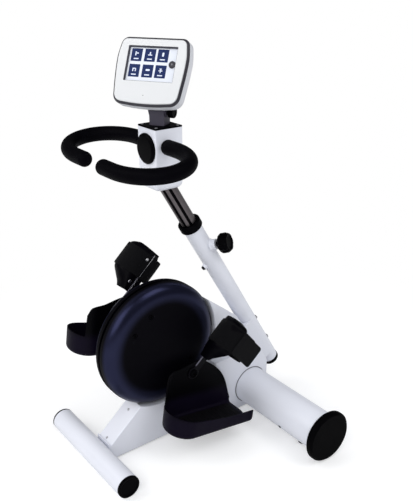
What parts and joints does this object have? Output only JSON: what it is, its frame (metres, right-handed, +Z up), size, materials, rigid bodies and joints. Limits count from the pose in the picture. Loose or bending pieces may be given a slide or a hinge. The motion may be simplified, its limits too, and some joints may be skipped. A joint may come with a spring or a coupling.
{
  "type": "active passive trainer",
  "caption": "Motor-assisted pedal trainer: white frame with a central drum crank, foot shells and calf guides, leaning column with handlebar loop and tilting touch console.",
  "frame": {"origin": "on the floor under the middle of the machine's bounding box", "axes": "+Z up, -Y towards the seated user (front foot), +X to the user's right"},
  "size_m": [0.7784, 0.6952, 1.0965],
  "materials": {
    "white_paint": "semi-gloss cool white powder coat",
    "black_plastic": "fine satin moulding",
    "drum_plastic": "glossy dark violet-black",
    "black_rubber": "matt",
    "foam": "matt foam sleeve",
    "webbing": "woven strap with soft lining",
    "grey_plastic": "satin dark grey",
    "console_white": "smooth white moulding",
    "gasket_rubber": "matt dark grey",
    "screen_glass": "pale lit display behind glass",
    "steel": "zinc-plated or brushed",
    "aluminium": "satin anodised",
    "circuit_board": "green board with components",
    "inlet_plastic": "moulded inlet with metal blades"
  },
  "bodies": {
    "frame": {"front_foot_tube": "white_paint", "front_foot_cap_left": "black_plastic", "front_foot_cap_right": "black_plastic", "base_beam": "white_paint", "front_cover": "white_paint", "rear_housing": "white_paint", "control_board": "circuit_board", "power_inlet": "inlet_plastic", "rear_foot_tube": "white_paint", "wheel_axle_left": "steel", "wheel_axle_right": "steel", "rear_foot_left": "black_rubber", "rear_foot_right": "black_rubber", "web_plate": "steel", "bearing_housing": "aluminium", "crank_bearing": "steel", "drive_motor": "grey_plastic", "drive_belt": "black_rubber", "column_tube": "white_paint", "column_bottom_cap": "black_plastic", "column_collar": "black_plastic", "column_saddle": "white_paint", "saddle_bolt_lower": "steel", "saddle_bolt_upper": "steel", "guide_screw": "steel"},
    "crank": {"crank_disc_left": "drum_plastic", "crank_disc_right": "drum_plastic", "crank_arm_left": "steel", "crank_arm_right": "steel", "crank_shaft": "steel", "drive_pulley": "aluminium", "pedal_spindle_left": "steel", "pedal_spindle_right": "steel"},
    "motor_rotor": {"motor_pulley": "aluminium"},
    "pedal_right": {"foot_shell_right": "black_plastic"},
    "pedal_left": {"foot_shell_left": "black_plastic"},
    "calf_guide_right": {"calf_arm_right": "steel", "calf_shell_right": "black_plastic", "calf_strap_right": "webbing"},
    "calf_guide_left": {"calf_arm_left": "steel", "calf_shell_left": "black_plastic", "calf_strap_left": "webbing"},
    "wheel_right": {"transport_wheel_right": "black_rubber"},
    "wheel_left": {"transport_wheel_left": "black_rubber"},
    "mast": {"inner_post": "aluminium", "head_box": "white_paint", "head_top_plate": "black_plastic", "head_front_cap": "black_plastic", "handlebar": "steel", "grip_left": "foam", "grip_right": "foam"},
    "clamp": {"clamp_knob": "black_plastic"},
    "neck": {"console_neck": "grey_plastic"},
    "console": {"tilt_bracket": "grey_plastic", "console_rear_shell": "console_white", "console_gasket": "gasket_rubber", "console_bezel": "console_white", "touch_screen": "screen_glass"},
    "tilt_lock": {"tilt_knob": "black_plastic"},
    "button": {"home_button": "grey_plastic"}
  },
  "joints": [
    {"name": "crank_spin", "type": "hinge", "parent": "frame", "child": "crank", "pos_m": [0, -0.104, 0.2965], "axis": [1, 0, 0], "continuous": true},
    {"name": "motor_spin", "type": "hinge", "parent": "frame", "child": "motor_rotor", "pos_m": [0, -0.044, 0.19258], "axis": [1, 0, 0], "continuous": true},
    {"name": "pedal_right_spin", "type": "hinge", "parent": "crank", "child": "pedal_right", "pos_m": [0.07, -0.03399, 0.20526], "axis": [1, 0, 0], "continuous": true},
    {"name": "pedal_left_spin", "type": "hinge", "parent": "crank", "child": "pedal_left", "pos_m": [-0.07, -0.17401, 0.38774], "axis": [1, 0, 0], "continuous": true},
    {"name": "calf_guide_right_swing", "type": "hinge", "parent": "pedal_right", "child": "calf_guide_right", "pos_m": [0.07, -0.03399, 0.20526], "axis": [1, 0, 0], "range_deg": [0, 60]},
    {"name": "calf_guide_left_swing", "type": "hinge", "parent": "pedal_left", "child": "calf_guide_left", "pos_m": [-0.07, -0.17401, 0.38774], "axis": [1, 0, 0], "range_deg": [0, 60]},
    {"name": "wheel_right_spin", "type": "hinge", "parent": "frame", "child": "wheel_right", "pos_m": [0.378, 0.1916, 0.0722], "axis": [1, 0, 0], "continuous": true},
    {"name": "wheel_left_spin", "type": "hinge", "parent": "frame", "child": "wheel_left", "pos_m": [-0.378, 0.1916, 0.0722], "axis": [1, 0, 0], "continuous": true},
    {"name": "mast_slide", "type": "slide", "parent": "frame", "child": "mast", "axis": [0, -0.5081, 0.8613], "range_m": [-0.09, 0.08]},
    {"name": "clamp_turn", "type": "hinge", "parent": "frame", "child": "clamp", "pos_m": [0, 0.06013, 0.53734], "axis": [0.8191, 0.494, 0.2915], "continuous": true},
    {"name": "neck_swivel", "type": "hinge", "parent": "mast", "child": "neck", "pos_m": [0, -0.0706, 0.892], "axis": [0, 0, 1], "range_deg": [-120, 60]},
    {"name": "console_tilt", "type": "hinge", "parent": "neck", "child": "console", "pos_m": [0, -0.0706, 0.925], "axis": [0.8625, 0.506, 0], "range_deg": [-15, 15]},
    {"name": "tilt_lock_turn", "type": "hinge", "parent": "neck", "child": "tilt_lock", "pos_m": [0, -0.0706, 0.925], "axis": [0.8625, 0.506, 0], "continuous": true},
    {"name": "button_press", "type": "slide", "parent": "console", "child": "button", "axis": [-0.4513, 0.7692, -0.4524], "range_m": [0, 0.0015], "stiffness_N_per_m": 300, "springref_m": -0.001}
  ],
  "couplings": [
    {"joint": "motor_spin", "follows": "crank_spin", "ratio": 4.6875}
  ]
}
